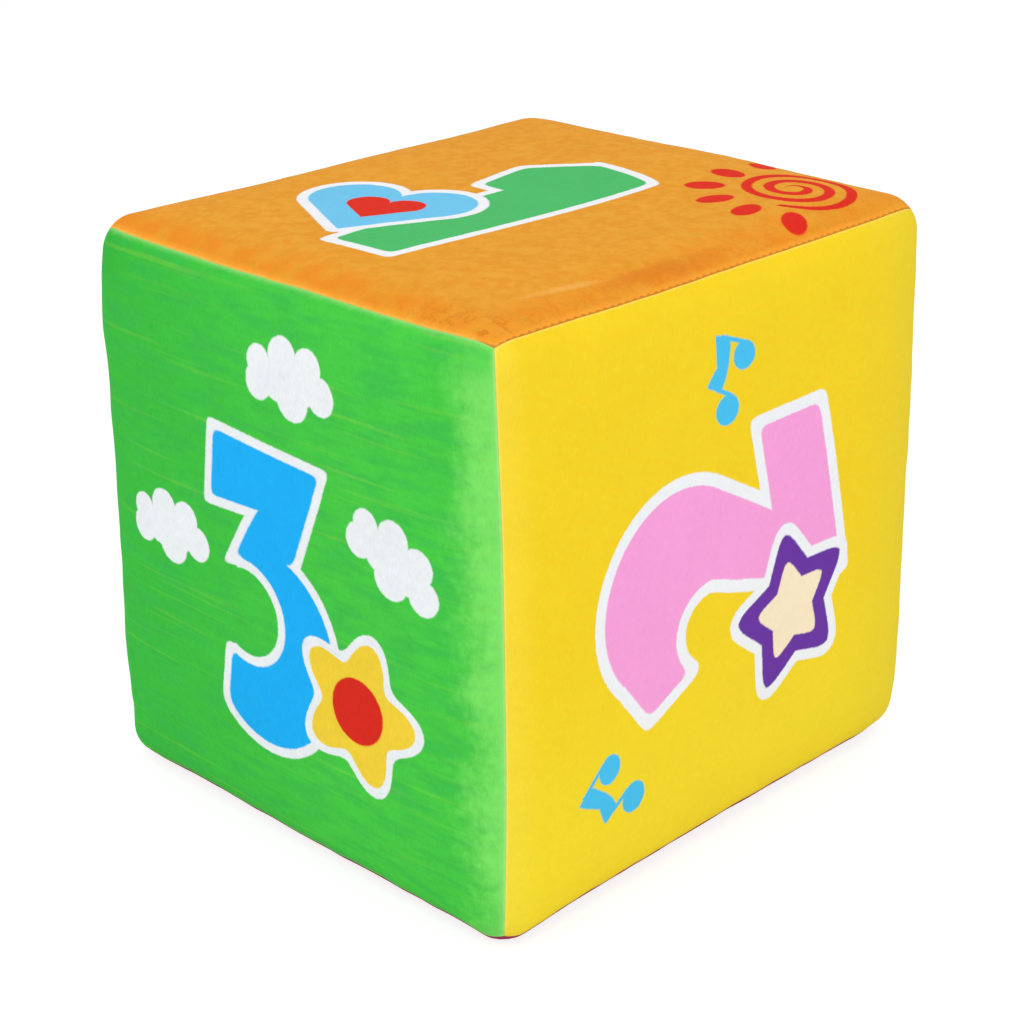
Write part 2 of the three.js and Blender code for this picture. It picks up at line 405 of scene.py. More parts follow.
def buildSponge():
    inset = cover["thickness"] + sponge["clear"]
    halfSize = blockHalf - inset
    diagonal = cover["edgeRadius"] - cover["lipDepth"] - cover["allowance"] - 2 * sponge["clear"]
    level = cover["edgeRadius"] - inset
    radius = (level * math.sqrt(2) - diagonal) / (math.sqrt(2) - 1)  # leaves room for the turned-in edges
    count = round(2 * blockHalf.max() / sponge["spacing"])
    points, moved, faces = [], [], []
    for name, panel in panels.items():
        reach = [seamReach(size - inset, radius) for size in panel["sizes"][:2]]
        along, across = np.meshgrid(*[np.linspace(-1, 1, count + 1)] * 2, indexing="ij")
        surface, _ = skin(panel, halfSize, radius, along * reach[0], across * reach[1], np.zeros_like(along))
        faces += gridFaces(count + 1, count + 1, sum(map(len, points)), True)
        points.append(surface.reshape(-1, 3))
        moved.append(pushed(name, along * panel["ends"][0], across * panel["ends"][1]).reshape(-1, 3))
    points, moved = np.concatenate(points), np.concatenate(moved)
    first, _, faces = weld(points, faces)
    size, height = sponge["uneven"]
    rough = noiseVectors(points[first], size) * height
    rough[:, 2] *= points[first, 2] > sponge["flatBelow"] - halfSize[2]
    return addMesh("foam_core_sponge", points[first] + moved[first] + rough + blockMiddle, faces)


spongePiece = buildSponge()
print("sponge:", len(spongePiece.data.vertices), "points")


# Seam stitches

stitch = {
    "length": 2.6 * mm,
    "pitch": 3 * mm,
    "thread": 0.16 * mm,  # radius
    "depth": 1.2 * mm,  # of the thread below the rounded edge
    "dip": 0.5 * mm,  # of a stitch's ends into the seam
    "steps": 5,  # points along a stitch
    "lay": 0.3,  # mm, size of the twist's tones
}


def seamPoints(first, second, places):
    panel = panels[first]
    sides = panel["axes"][:2] @ panels[second]["normal"]
    flat = [np.full_like(places, side * end) if side else places for side, end in zip(sides, panel["ends"])]
    surface, out = skin(panel, blockHalf, cover["edgeRadius"], *flat, np.zeros_like(places))
    return surface + pushed(first, *flat) + blockMiddle, out


def buildStitches(first, second):
    along = np.abs(np.cross(panels[first]["normal"], panels[second]["normal"]))
    length = along @ blockHalf - cover["edgeRadius"]
    middles = np.arange(-length + stitch["pitch"] / 2, length, stitch["pitch"])
    steps = np.linspace(-0.5, 0.5, stitch["steps"])
    places = (middles[:, None] + steps * stitch["length"]).ravel()
    surface, out = seamPoints(first, second, places)
    depth = stitch["depth"] + stitch["dip"] * np.tile((2 * steps) ** 4, len(middles))
    points = (surface - out * depth[:, None]).reshape(len(middles), len(steps), 3)
    curve = bpy.data.curves.new(f"seam_{first}_{second}_stitches", "CURVE")
    curve.dimensions = "3D"
    curve.bevel_depth = stitch["thread"]
    curve.bevel_resolution = 1
    curve.use_fill_caps = True
    for row in points:
        spline = curve.splines.new("POLY")
        spline.points.add(len(steps) - 1)
        spline.points.foreach_set("co", np.column_stack((row, np.ones(len(steps)))).ravel())
    piece = bpy.data.objects.new(curve.name, curve)
    bpy.context.collection.objects.link(piece)
    return piece


seams = [(level, side) for side in ("front", "back", "right", "left") for level in ("top", "bottom")]
seams += [(face, side) for face in ("front", "back") for side in ("right", "left")]
stitchPieces = {pair: buildStitches(*pair) for pair in seams}
print("stitches:", len(stitchPieces), "rows")


# Finishes


class Wire:
    def __init__(self, finish, socket):
        self.finish, self.socket = finish, socket

    def math(self, operation, *values):
        return self.finish.node("ShaderNodeMath", {"operation": operation}, dict(enumerate(values)))

    def __add__(self, other):
        return self.math("ADD", self, other)

    def __radd__(self, other):
        return self.math("ADD", other, self)

    def __sub__(self, other):
        return self.math("SUBTRACT", self, other)

    def __rsub__(self, other):
        return self.math("SUBTRACT", other, self)

    def __mul__(self, other):
        return self.math("MULTIPLY", self, other)

    def __rmul__(self, other):
        return self.math("MULTIPLY", other, self)

    def __truediv__(self, other):
        return self.math("DIVIDE", self, other)

    def __rtruediv__(self, other):
        return self.math("DIVIDE", other, self)

    def __abs__(self):
        return self.math("ABSOLUTE", self)

    def __or__(self, other):  # two shapes joined
        return self.math("MINIMUM", self, other)

    def __and__(self, other):  # what two shapes share
        return self.math("MAXIMUM", self, other)

    def __invert__(self):  # all but the shape
        return self.math("MULTIPLY", self, -1)

    __ror__, __rand__ = __or__, __and__


def colour(code):  # sRGB code to the linear values that nodes take
    channels = [int(code[i:i + 2], 16) / 255 for i in (1, 3, 5)]
    return (*[c / 12.92 if c <= 0.04045 else ((c + 0.055) / 1.055) ** 2.4 for c in channels], 1)


def shades(**codes):
    return {name: colour(code) for name, code in codes.items()}


class Finish:
    def __init__(self, name):
        self.material = bpy.data.materials.new(name)
        self.material.use_nodes = True
        self.tree = self.material.node_tree
        self.tree.nodes.clear()

    def node(self, kind, settings=None, sockets=None, output=0):
        made = self.tree.nodes.new(kind)
        for key, value in (settings or {}).items():
            setattr(made, key, value)
        for key, value in (sockets or {}).items():
            if isinstance(value, Wire):
                self.tree.links.new(value.socket, made.inputs[key])
            else:
                made.inputs[key].default_value = value
        return Wire(self, made.outputs[output]) if made.outputs else None

    def vector(self, operation, *values, output=0):
        return self.node("ShaderNodeVectorMath", {"operation": operation}, dict(enumerate(values)), output)

    def scaled(self, vector, amount):
        return self.node("ShaderNodeVectorMath", {"operation": "SCALE"}, {0: vector, "Scale": amount})

    def mix(self, factor, first, second):
        return self.node("ShaderNodeMix", {"data_type": "RGBA"}, {0: factor, 6: first, 7: second}, 2)

    def noise(self, place, size, detail=2.0):  # around 0.5, with patches of about the size
        return self.node("ShaderNodeTexNoise", {}, {"Vector": place, "Scale": 1 / size, "Detail": detail})

    def between(self, value, start, end):  # 0 at start, 1 at end
        smooth = {"interpolation_type": "SMOOTHSTEP"}
        return self.node("ShaderNodeMapRange", smooth, {0: value, 1: start, 2: end})

    def split(self, vector):
        parts = self.node("ShaderNodeSeparateXYZ", {}, {0: vector}).socket.node.outputs
        return Wire(self, parts[0]), Wire(self, parts[1])

    def spot(self):  # place on the piece, in mm
        return self.scaled(self.node("ShaderNodeTexCoord", output="Object"), 1 / mm)

    def seen(self):  # 1 where the camera looks, straight on, in a reflection or through glass
        path = self.node("ShaderNodeLightPath").socket.node.outputs
        rays = [Wire(self, path[f"Is {ray} Ray"]) for ray in ("Camera", "Glossy", "Transmission")]
        return rays[0] + rays[1] + rays[2]

    def surface(self, sockets):
        shader = self.node("ShaderNodeBsdfPrincipled", {}, sockets)
        self.node("ShaderNodeOutputMaterial", {}, {"Surface": shader})
        return self.material

    # Shapes of a print, as distances in mm from their edges that are negative inside

    def turned(self, place, centre, degrees):
        turn = {0: place, 1: (*centre, 0), 2: (0, 0, math.radians(degrees))}
        return self.node("ShaderNodeMapping", {"vector_type": "TEXTURE"}, turn)

    def disc(self, place, centre, radius):
        return self.vector("DISTANCE", place, (*centre, 0), output=1) - radius

    def oval(self, place, centre, halfWidth, halfHeight, degrees=0):
        local = self.turned(place, centre, degrees)
        shrunk = self.vector("MULTIPLY", local, (1 / halfWidth, 1 / halfHeight, 0))
        return (self.vector("LENGTH", shrunk, output=1) - 1) * min(halfWidth, halfHeight)

    def block(self, place, centre, halfWidth, halfHeight, degrees=0, corner=0.5):
        local = self.vector("ABSOLUTE", self.turned(place, centre, degrees))
        past = self.vector("SUBTRACT", local, (halfWidth - corner, halfHeight - corner, 0))
        outside = self.vector("LENGTH", self.vector("MAXIMUM", past, (0, 0, 0)), output=1)
        x, y = self.split(past)
        return outside + ((x & y) | 0) - corner

    def side(self, place, point, degrees):  # all that lies on the right of a line through the point
        angle = math.radians(degrees)
        out = (-math.sin(angle), math.cos(angle), 0)
        offset = point[0] * out[0] + point[1] * out[1]
        return self.vector("DOT_PRODUCT", place, out, output=1) - offset

    def hull(self, place, *corners, blunt=0.0):  # corners in clockwise order
        shape = None
        for (x0, y0), (x1, y1) in zip(corners, corners[1:] + corners[:1]):
            part = self.side(place, (x0, y0), math.degrees(math.atan2(y1 - y0, x1 - x0)))
            shape = part if shape is None else shape.math("SMOOTH_MAX", shape, part, blunt)
        return shape

    def polar(self, place, centre):
        local = self.vector("SUBTRACT", place, (*centre, 0))
        x, y = self.split(local)
        return self.vector("LENGTH", local, output=1), x.math("ARCTAN2", y, x)

    def inside(self, distance):
        edge = {0: distance, 1: -1 / printing["softness"], 2: 0.5}
        return self.node("ShaderNodeMath", {"operation": "MULTIPLY_ADD", "use_clamp": True}, edge)

    def stamp(self, ground, shape, ink, rim=0):  # with a white rim of that many mm
        if rim:
            ground = self.mix(self.inside(shape - rim), ground, colour(inks["white"]))
        return self.mix(self.inside(shape), ground, colour(ink))


# Print

printing = {
    "softness": 0.45,  # mm over which a printed edge fades in the pile
    "ragged": 0.18,  # mm that the pile shifts an edge
    "blunt": 4.5,  # mm over which a numeral's corners are rounded
    "crisp": 3.5,  # the same where they are sharper
    "rim": 2.3,  # mm of white round a numeral, where its panel gives no other
}
sunPrint = {
    "pitch": 5.6,  # mm between the arms of the spiral
    "line": 2.8,
    "start": 3.9,  # mm out from the middle to the first turn
    "reach": (2.4, 16.3),  # mm, from the middle to the spiral's two ends
    "stop": (13.8, 6.7),  # mm out and to the right, past which the outer arm ends below the middle
    "rays": (  # middle, half length, half width, turn
        ((-20.8, 12.8), 4.5, 3.4, 148),
        ((-20.6, -1), 5, 3.4, 0),
        ((-17.5, -13.7), 5.2, 3.6, 37),
        ((-7.3, -21.6), 5.2, 3.2, 72),
        ((4.3, -23.3), 5.3, 3, 98),
        ((15.8, -18.7), 5.6, 3.3, 132),
    ),
}
inks = {
    "white": "#f4f7fb",
    "blue": "#14b4ff",
    "pink": "#fba3df",
    "green": "#42bf6c",
    "red": "#e02318",
    "note": "#46c3f5",
    "yellow": "#fbd63a",
    "purple": "#6932a5",
    "cream": "#fdeccb",
    "sky": "#6cc9f2",
}


def numeralThree(finish, place):
    blunt, crisp = printing["blunt"], printing["crisp"]
    bar = finish.hull(place, (-20, 33.3), (17.5, 30), (11.5, 16.5), (-22.5, 15.5), blunt=crisp)
    slope = ((-5, 17), (4, 26), (13, 26.5), (15.7, 25.7), (6.3, 4.8), (-14.7, 1.8))
    slope = finish.hull(place, *slope, blunt=crisp)
    bowl = finish.disc(place, (-5.2, -17.4), 24.1) | finish.disc(place, (-5.8, -23.6), 22)
    bowl = bowl.math("SMOOTH_MAX", bowl, finish.side(place, (-21.4, -37.5), 78.6), blunt)
    counter = finish.disc(place, (-11.8, -12.2), 13.8)
    opening = finish.hull(place, (-40, 1.6), (-11.8, 1.6), (-11.8, -24.8), (-40, -24.8))
    opening = opening | finish.hull(place, (-40, 9), (-14.7, 9), (-14.7, 0), (-40, 0))
    return bar | slope | bowl.math("SMOOTH_MAX", bowl, ~(counter | opening), crisp)


def numeralTwo(finish, place):  # lies on its back
    blunt = printing["blunt"]
    hook = ((-44.5, -12.5), (-30, -5), (-17.6, -5), (-17.6, -21.2), (-32.2, -28.6))
    hook = finish.hull(place, *hook, blunt=blunt)
    counter = finish.disc(place, (-11.2, -11.9), 11.9)
    opening = finish.side(place, (-11.2, 0), -18) & finish.side(place, (-11.2, 0), 90)
    bowl = (finish.disc(place, (-22.2, 0.4), 25.8) & ~finish.side(place, (0, -17), 0)) | hook
    bowl = bowl.math("SMOOTH_MAX", bowl, ~(counter | opening), blunt)
    slope = finish.hull(place, (-25, 15), (-9.3, 22.7), (12.4, 10.2), (20, -10), (-11.2, 0.2))
    base = finish.hull(place, (6.5, 33.3), (28.9, 34), (39.7, -12.5), (17.8, -18), blunt=blunt)
    return bowl | slope | base


def numeralOne(finish, place):
    head = ((-4.5, 36), (8.2, 34.9), (13.5, 33.5), (18.3, 31))
    foot = ((18.2, -13), (15.2, -53.7), (-4.5, -54), (-6, 0))
    stem = finish.hull(place, *head, *foot, blunt=printing["crisp"])
    flag = ((-17.3, 21.5), (-4.5, 36), (3, 35.3), (3, 2.5), (-13.5, 2.5))
    return stem | finish.hull(place, *flag, blunt=printing["blunt"])


def numeralFour(finish, place):
    stem = finish.block(place, (9, 0), 8, 38, 0, 2)
    bar = finish.block(place, (0, -12), 29, 7.5, 0, 2)
    slope = finish.hull(place, (3, 36), (15, 36), (9, -16), (-26, -16), (-26.5, -9), blunt=printing["blunt"])
    window = finish.hull(place, (1, 13), (1, -4.5), (-11, -4.5))
    return stem | bar | (slope & ~window)


def numeralFive(finish, place):
    bar = finish.block(place, (2, 29), 22, 8, 0, 2)
    back = finish.block(place, (-11.5, 16), 8.5, 20, 2, 2)
    bowl = finish.disc(place, (-1, -13), 24)
    opening = finish.disc(place, (-3, -13), 9.5) | finish.block(place, (-33, -13), 30, 9.5)
    return bar | back | bowl.math("SMOOTH_MAX", bowl, ~opening, printing["crisp"])


def numeralSix(finish, place):
    bowl = finish.disc(place, (1, -14), 24)
    neck = finish.disc(place, (11, 2), 36) & ~finish.disc(place, (23, 5), 32)
    neck = neck & finish.side(place, (14, 0), -90)
    return (bowl | neck) & ~finish.disc(place, (1, -14), 9)


cloudPrint = {
    "body": ((-1, -0.5), 10.6, 5.8),  # middle, half width and half height, in mm
    "lobes": (  # middle and radius
        ((-11, 2.4), 4),
        ((-11.2, -2.4), 4.4),
        ((-2.6, 4.8), 4.9),
        ((6.1, 3.8), 4.7),
        ((10.4, -1.6), 4.6),
        ((0.6, -4.2), 5.4),
    ),
}


def cloud(finish, place, centre, degrees=0):
    local = finish.turned(place, centre, degrees)
    shape = finish.oval(local, *cloudPrint["body"])
    for lobe in cloudPrint["lobes"]:
        shape = shape | finish.disc(local, *lobe)
    return shape


def notePair(finish, place, centre, degrees):
    local = finish.turned(place, centre, degrees)
    heads = finish.oval(local, (5.25, 3.3), 3.9, 3.5) | finish.oval(local, (-1.5, -8.3), 4.1, 3.7)
    beam = finish.hull(local, (-4.2, 10.6), (1, 8.4), (-0.6, 1.5), (-4.7, 2.3), blunt=1.5)
    curl = finish.hull(local, (-4.7, 3), (-0.4, 2.4), (-1.2, -0.2), (-3.7, -3.4), (-8.6, -1), blunt=1.5)
    upper = finish.block(local, (2.6, 7.6), 5.4, 0.6, -22.6)
    lower = finish.block(local, (-2.2, -3.9), 3.4, 0.6, -30)
    return heads | beam | curl | upper | lower


def sun(finish, place, centre):
    local = finish.vector("SUBTRACT", place, (*centre, 0))
    x, y = finish.split(local)
    reach, angle = finish.polar(place, centre)
    turn = (reach - sunPrint["start"]) / sunPrint["pitch"] + angle / (2 * math.pi) + 0.5
    arm = abs(turn - turn.math("FLOOR", turn) - 0.5) * sunPrint["pitch"] - sunPrint["line"] / 2
    nearest, farthest = sunPrint["reach"]
    outward, rightward = sunPrint["stop"]
    end = (outward - reach) & (x - rightward) & y
    shape = arm & (reach - farthest) & (nearest - reach) & ~end
    for ray in sunPrint["rays"]:
        shape = shape | finish.oval(local, *ray)
    return shape


flowerPrint = {
    "petals": 5,
    "scallop": 0.18,  # share of the radius that the petals swing in and out
}
starPrint = {
    "points": 5,
    "inner": 0.55,  # share of the radius between two points
    "tip": 0.9,  # share at which a tip is cut off
    "blunt": 0.2,  # share over which it is rounded
}


def flower(finish, place, centre, radius):
    reach, angle = finish.polar(place, centre)
    swing = angle.math("COSINE", angle * flowerPrint["petals"])
    scallop = flowerPrint["scallop"] * radius
    return reach - (radius - scallop + swing * scallop)


def star(finish, place, centre, radius, degrees=90):
    reach, angle = finish.polar(place, centre)
    step = math.pi / starPrint["points"]
    fold = angle.math("PINGPONG", angle - math.radians(degrees) + 4 * math.pi, step)
    x = reach * fold.math("COSINE", fold)
    y = reach * fold.math("SINE", fold)
    inner = radius * starPrint["inner"]
    ex, ey = inner * math.cos(step) - radius, inner * math.sin(step)
    arm = ((x - radius) * ey - y * ex) / math.hypot(ex, ey)
    return arm.math("SMOOTH_MAX", arm, reach - radius * starPrint["tip"], radius * starPrint["blunt"])


def heart(finish, place, centre, size, degrees=0):
    local = finish.vector("MULTIPLY", finish.turned(place, centre, degrees), (1 / size, 1 / size, 0))
    x, y = finish.split(local)
    half = finish.node("ShaderNodeCombineXYZ", {}, {0: abs(x), 1: y})
    lobe = finish.disc(half, (0.48, 0.3), 0.52)
    point = finish.block(half, (0, -0.068), 0.6, 0.6, 45, 0.02)
    return (lobe | (point & (y - 0.3))) * size


frontFigures = {
    "clouds": (((8.3, 51.8), 1), ((-39.4, 1.9), 0), ((41.2, 16.6), -25)),  # middle and turn
    "numeral": ((0.3, 0.5), 1.3),
    "numeralRim": 2.5,
    "flower": (27, -25),
    "flowerSize": 19,
    "flowerEye": 8.5,
    "flowerRim": 2.8,
}
rightFigures = {
    "notes": (((-3.9, 49.2), 2), ((-44.6, -43.2), 68)),  # middle and turn
    "numeralRim": 3.2,
    "star": (20.5, -18.5),
    "starTurn": 100,
    "starSizes": (24, 15),  # outer and inner
    "starRim": 2.8,
}
topFigures = {
    "sun": (47.9, 52.2),
    "heart": (-17, -29),
    "heartTurn": 20,
    "heartSizes": (22.5, 10.5),  # outer and inner
    "rim": 2.8,
}
backFigures = {
    "hearts": ((-48, 40), (46, -46)),
    "heartSize": 12,
    "stars": ((46, 44), (-46, -44)),
    "starSize": 13,
}
leftFigures = {
    "clouds": ((-44, 40), (46, 36), (40, -46)),
}
bottomFigures = {
    "flowers": ((-46, 44), (44, 46), (46, -44), (-44, -44)),
    "flowerSize": 12,
    "flowerEye": 4,
}


def frontPrint(finish, ground, place):
    for spot in frontFigures["clouds"]:
        ground = finish.stamp(ground, cloud(finish, place, *spot), inks["white"])
    numeral = numeralThree(finish, finish.turned(place, *frontFigures["numeral"]))
    ground = finish.stamp(ground, numeral, inks["blue"], frontFigures["numeralRim"])
    centre = frontFigures["flower"]
    bloom = flower(finish, place, centre, frontFigures["flowerSize"])
    ground = finish.stamp(ground, bloom, inks["yellow"], frontFigures["flowerRim"])
    return finish.stamp(ground, finish.disc(place, centre, frontFigures["flowerEye"]), inks["red"])


def rightPrint(finish, ground, place):
    for spot in rightFigures["notes"]:
        ground = finish.stamp(ground, notePair(finish, place, *spot), inks["note"])
    ground = finish.stamp(ground, numeralTwo(finish, place), inks["pink"], rightFigures["numeralRim"])
    centre, turn = rightFigures["star"], rightFigures["starTurn"]
    outer, inner = [star(finish, place, centre, size, turn) for size in rightFigures["starSizes"]]
    ground = finish.stamp(ground, outer, inks["purple"], rightFigures["starRim"])
    return finish.stamp(ground, inner, inks["cream"])


def topPrint(finish, ground, place):
    ground = finish.stamp(ground, sun(finish, place, topFigures["sun"]), inks["red"])
    ground = finish.stamp(ground, numeralOne(finish, place), inks["green"], topFigures["rim"])
    centre, turn = topFigures["heart"], topFigures["heartTurn"]
    outer, inner = [heart(finish, place, centre, size, turn) for size in topFigures["heartSizes"]]
    ground = finish.stamp(ground, outer, inks["sky"], topFigures["rim"])
    return finish.stamp(ground, inner, inks["red"])


def backPrint(finish, ground, place):
    for centre in backFigures["hearts"]:
        ground = finish.stamp(ground, heart(finish, place, centre, backFigures["heartSize"]), inks["pink"])
    for centre in backFigures["stars"]:
        ground = finish.stamp(ground, star(finish, place, centre, backFigures["starSize"]), inks["yellow"])
    return finish.stamp(ground, numeralFour(finish, place), inks["yellow"], printing["rim"])


def leftPrint(finish, ground, place):
    for centre in leftFigures["clouds"]:
        ground = finish.stamp(ground, cloud(finish, place, centre), inks["white"])
    return finish.stamp(ground, numeralFive(finish, place), inks["red"], printing["rim"])


def bottomPrint(finish, ground, place):
    for centre in bottomFigures["flowers"]:
        bloom = flower(finish, place, centre, bottomFigures["flowerSize"])
        ground = finish.stamp(ground, bloom, inks["white"])
        ground = finish.stamp(ground, finish.disc(place, centre, bottomFigures["flowerEye"]), inks["yellow"])
    return finish.stamp(ground, numeralSix(finish, place), inks["purple"], printing["rim"])


plush = {
    "fibre": (0.5, 1.6),  # mm, width and length of the brushed tips
    "clump": 2.2,  # mm, where they lie together
    "nap": 14,  # mm, patches brushed one way
    "strength": (0.09, 0.07, 0.06),  # how much each of them lightens and darkens
    "calm": {"front": 0.9, "right": 0.5, "top": 0.7},  # share of that on panels with a smoother pile
    "bump": 0.35,
    "bumpDepth": 0.4 * mm,
    "relief": (0.5, 0.8),  # height of the tips and of the clumps
    "roughness": 0.9,
    "specular": 0.15,
    "sheen": 0.06,
    "sheenRoughness": 0.5,
    "shift": 1.1,  # mm, size of the tufts that shift a printed edge
}
dyes = {  # ground, its brushed-up tone, which also serves as painted sheen and highlight at the edges, and its deep tone, which also serves as painted shade
    "front": ("#40c446", "#86ea6c", "#2fae3c"),
    "back": ("#8d6fd1", "#b39fe4", "#7757be"),
    "right": ("#f8d520", "#fde24a", "#e9b725"),
    "left": ("#4fb9ee", "#8ad4f6", "#349fdb"),
    "top": ("#ea9d2c", "#fda834", "#ee851a"),
    "bottom": ("#c9426a", "#e0708f", "#8a3348"),
}


class Pile:  # what the colours of one panel are made from
    def __init__(self, finish, name):
        self.finish = finish
        self.dye, self.brushed, self.deep = [colour(code) for code in dyes[name]]
        self.spot = finish.spot()
        self.cloth = finish.node("ShaderNodeAttribute", {"attribute_name": "cloth"}, {}, "Vector")
        self.fromSeam = finish.node("ShaderNodeAttribute", {"attribute_name": "fromSeam"}, {}, "Fac")
        self.along, self.across = finish.split(self.cloth)
        self.clump = finish.noise(self.spot, plush["clump"], 2)
        self.nap = finish.noise(self.spot, plush["nap"], 2)
        self.fibre = self.streaks(*plush["fibre"])

    def streaks(self, alongSize, acrossSize, degrees=0):
        local = self.finish.turned(self.cloth, (0, 0), degrees)
        return self.finish.noise(self.finish.vector("MULTIPLY", local, (1 / alongSize, 1 / acrossSize, 1)), 1)

    def rim(self, start, end):  # 1 at the seam, with an edge that follows the pile
        return 1 - self.finish.between(self.fromSeam + (self.clump - 0.5) * (end - start), start, end)

    def past(self, place, start, end, ragged=10):  # 0 before start, 1 past end, with an uneven front
        shifted = place + (self.nap - 0.5) * ragged + (self.clump - 0.5) * ragged / 2
        return self.finish.between(shifted, start, end)

    def lip(self, ground, shade):  # painted light at the very edge of a panel, lifting the shade of the seam's groove
        return self.finish.mix((1 - self.finish.between(self.fromSeam, 0.1, 0.7)) * 0.25, ground, shade)


# edge and lip: painted highlight and painted light along the seams
frontShades = shades(
    left="#3bc33f", right="#49d146", wash="#38bb52", line="#b4dd44", edge="#98e57c", lip="#d6f5a4",
)
# lip: painted light along the seams
rightShades = shades(dark="#f9d41e", pale="#f7d724", low="#f8de2a", far="#e9d233", lip="#fff0a0")
# fold and edge: painted highlights; seam: painted shade in its groove
topShades = shades(
    dark="#e79825", pale="#eca533", smear="#d8791a", fold="#f9bb62",
    crease="#cf6a14", edge="#ffc75c", seam="#b9691d",
)
topWear = {  # painted shadow of a wrinkle and painted highlight on a fold: middle, half length, half width and turn
    "smear": ((65, -16), 19, 2.4, 88),
    "fold": ((61, -43), 9, 1, 82),
    "tooth": 1.2,  # mm, half the step of the teeth of the painted shade in the seam
}


def plainGround(finish, pile):
    # painted sheen along the seams, over the brushed-up pile there
    return finish.mix(pile.rim(0, 4) * 0.6, pile.dye, pile.brushed)


def frontGround(finish, pile):
    strokes, washes, lines = pile.streaks(8, 1.5), pile.streaks(16, 4), pile.streaks(70, 2.2)
    ground = finish.mix(finish.between(pile.along, -60, 40), frontShades["left"], frontShades["right"])
    ground = finish.mix(finish.between(washes, 0.42, 0.66) * 0.5, ground, frontShades["wash"])
    ground = finish.mix(finish.between(strokes, 0.4, 0.7) * 0.16, ground, pile.deep)
    corner = pile.past(0 - pile.along, 48, 66) * pile.past(pile.across, 54, 68)
    ground = finish.mix(corner * 0.5, ground, pile.deep)
    # painted sheen and light along the rounded front edge, over the brushed-up pile there
    band = pile.past(pile.along, 56, 70, 18) * (1 - pile.past(pile.across, 62, 71) * 0.7)
    ground = finish.mix(band * 0.8, ground, pile.brushed)
    ground = finish.mix(finish.between(lines, 0.58, 0.74) * 0.15, ground, frontShades["line"])
    # painted highlight along the seams
    ground = finish.mix(pile.rim(0, 1.8) * 0.45, ground, frontShades["edge"])
    return pile.lip(ground, frontShades["lip"])


def rightGround(finish, pile):
    slant = pile.streaks(9, 1.4, -20)
    ground = finish.mix(finish.between(slant, 0.2, 0.8), rightShades["dark"], rightShades["pale"])
    ground = finish.mix(finish.between(0 - pile.across, -10, 60), ground, rightShades["low"])
    ground = finish.mix(pile.past(pile.along, 40, 74) * 0.6, ground, rightShades["far"])
    # painted sheen along the front seam
    ground = finish.mix((1 - finish.between(pile.along, -75, -66)) * 0.4, ground, pile.brushed)
    return pile.lip(ground, rightShades["lip"])


def topGround(finish, pile):
    mottle, blotch = finish.noise(pile.spot, 3, 4), finish.noise(pile.spot, 6, 4)
    ground = finish.mix(finish.between(mottle, 0.3, 0.7), topShades["dark"], topShades["pale"])
    front, right = pile.past(0 - pile.across, 62, 72), pile.past(pile.along, 56, 68)
    # painted shade in the hollows beside the front and right seams
    worn = front.math("MAXIMUM", front, right) * finish.between(blotch, 0.3, 0.65)
    ground = finish.mix(worn * 0.7, ground, pile.deep)
    # painted shadow of a wrinkle along the right seam
    smear = finish.oval(pile.cloth, *topWear["smear"]) + (pile.clump - 0.5) * 3
    ground = finish.mix((1 - finish.between(smear, -1.5, 1.5)) * 0.5, ground, topShades["smear"])
    # painted highlight along the ridge of a fold
    fold = finish.oval(pile.cloth, *topWear["fold"]) + (pile.clump - 0.5) * 1.5
    ground = finish.mix((1 - finish.between(fold, -0.6, 0.8)) * 0.5, ground, topShades["fold"])
    veins = 1 - finish.between(abs(finish.noise(pile.spot, 5, 3) - 0.5), 0.005, 0.045)  # painted shade in the creases of the pile
    creased = front * pile.past(pile.along, 30, 60) + right * 0.4
    ground = finish.mix(veins * creased * 0.45, ground, topShades["crease"])
    # painted highlight on the rolled edge along the seams
    ground = finish.mix(pile.rim(0.4, 2.4) * 0.7, ground, pile.brushed)
    edge = pile.rim(0, 0.9) * finish.between(0 - pile.across, 70, 75)  # painted highlight along the front seam
    ground = finish.mix(edge * 0.5, ground, topShades["edge"])
    # painted shade in the groove of the right seam, with a toothed edge
    teeth = pile.across.math("PINGPONG", pile.across, topWear["tooth"]) * 0.4
    stitched = (1 - finish.between(pile.fromSeam - teeth, 0, 0.4)) * finish.between(pile.along, 64, 69)
    return finish.mix(stitched * 0.6, ground, topShades["seam"])


def bottomGround(finish, pile):
    # painted shade along the seams, where the bottom panel rolls under them
    return finish.mix(pile.rim(2, 6) * 0.8, pile.dye, pile.deep)


grounds = {"front": frontGround, "right": rightGround, "top": topGround, "bottom": bottomGround}
prints = {
    "front": frontPrint, "back": backPrint, "right": rightPrint,
    "left": leftPrint, "top": topPrint, "bottom": bottomPrint,
}


